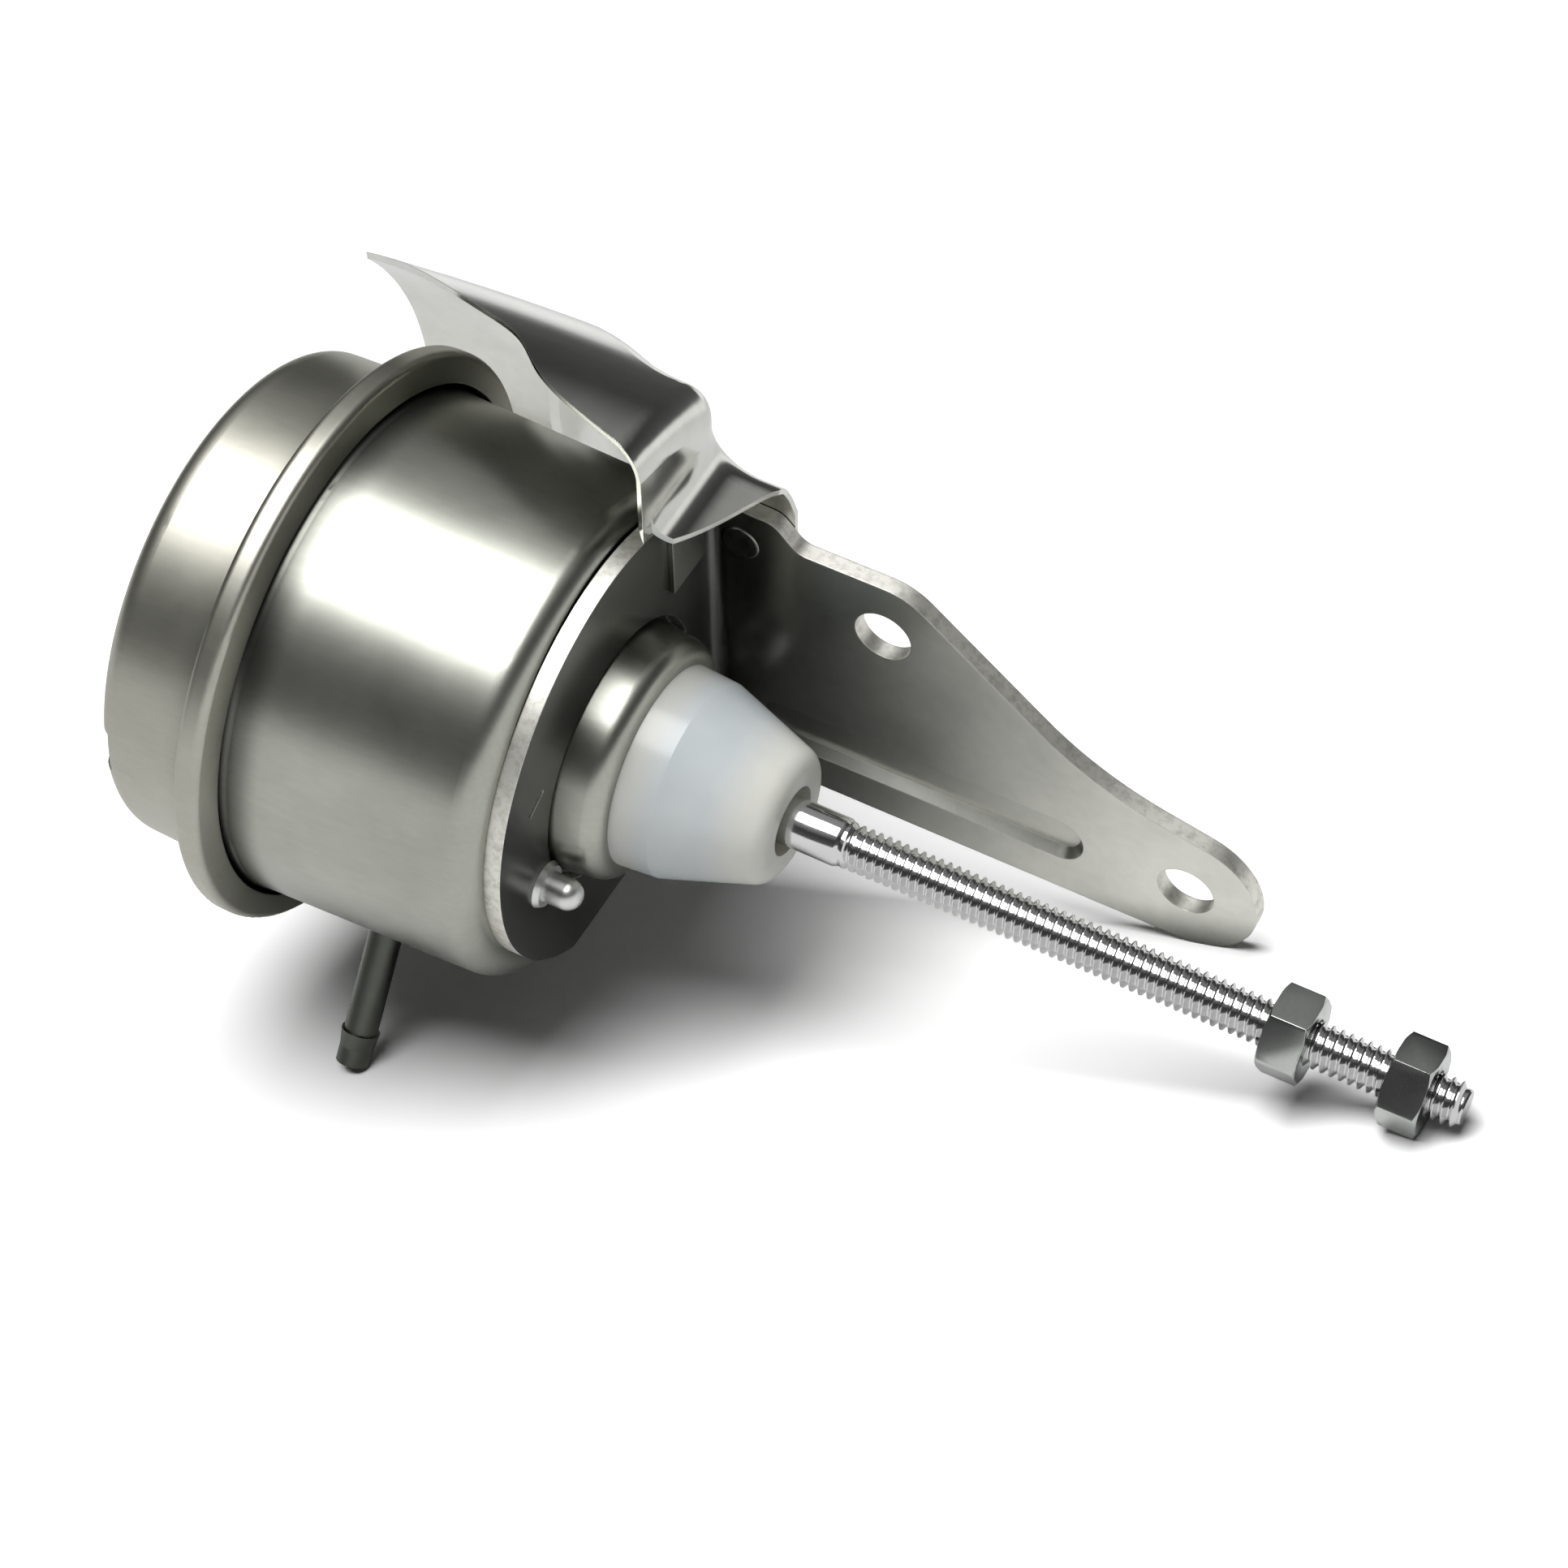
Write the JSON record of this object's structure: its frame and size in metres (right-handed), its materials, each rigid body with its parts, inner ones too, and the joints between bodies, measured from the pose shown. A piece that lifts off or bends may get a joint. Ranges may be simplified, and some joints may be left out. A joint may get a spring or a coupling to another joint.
{
  "type": "wastegate actuator",
  "caption": "Round crimped diaphragm can with a folded mounting bracket, curved heat shield, hose nipple and a sprung threaded push rod with nuts.",
  "frame": {"origin": "The rod's axis at the front face of the mounting bracket's plate.", "axes": "+X runs along the rod, the way it moves out; +Y runs from the rod to the bracket's ear; +Z runs across the ear, towards its upper hole."},
  "size_m": [0.1833, 0.092, 0.1005],
  "materials": {
    "rear_shell": "plated pressed steel, satin",
    "front_shell": "plated pressed steel, satin",
    "diaphragm": "moulded rubber on fabric",
    "piston_cup": "plated pressed steel",
    "retainer_plate": "plated steel",
    "rear_washer": "plated steel",
    "front_washer": "plated steel",
    "return_spring": "spring steel wire",
    "spring_seat": "plated pressed steel",
    "actuator_rod": "bright plated steel, rolled thread",
    "rod_seal": "moulded rubber",
    "cone_retainer": "spring steel",
    "guide_cone": "natural nylon, slightly translucent",
    "mounting_bracket": "plated sheet steel, sheared edges",
    "bracket_rivet_1": "bright plated steel",
    "bracket_rivet_2": "bright plated steel",
    "heat_shield": "plated sheet steel",
    "hose_nipple": "plated steel tube",
    "adjuster_nut": "bright plated steel",
    "lock_nut": "bright plated steel"
  },
  "bodies": {
    "housing": {"rear_shell": "rear_shell", "front_shell": "front_shell", "diaphragm": "diaphragm", "return_spring": "return_spring", "spring_seat": "spring_seat", "rod_seal": "rod_seal", "cone_retainer": "cone_retainer", "guide_cone": "guide_cone", "mounting_bracket": "mounting_bracket", "bracket_rivet_1": "bracket_rivet_1", "bracket_rivet_2": "bracket_rivet_2", "heat_shield": "heat_shield", "hose_nipple": "hose_nipple"},
    "rod": {"actuator_rod": "actuator_rod", "piston_cup": "piston_cup", "retainer_plate": "retainer_plate", "rear_washer": "rear_washer", "front_washer": "front_washer"},
    "adjuster": {"adjuster_nut": "adjuster_nut"},
    "locker": {"lock_nut": "lock_nut"}
  },
  "joints": [
    {"name": "rod_slide", "type": "slide", "parent": "housing", "child": "rod", "axis": [1, 0, 0], "range_m": [0, 0.012], "stiffness_N_per_m": 8000, "springref_m": -0.015, "deforming": ["return_spring", "diaphragm"]},
    {"name": "adjuster_travel", "type": "slide", "parent": "rod", "child": "adjuster", "axis": [1, 0, 0], "range_m": [-0.05, 0.005]},
    {"name": "lock_nut_travel", "type": "slide", "parent": "rod", "child": "locker", "axis": [1, 0, 0], "range_m": [-0.005, 0.004]}
  ]
}
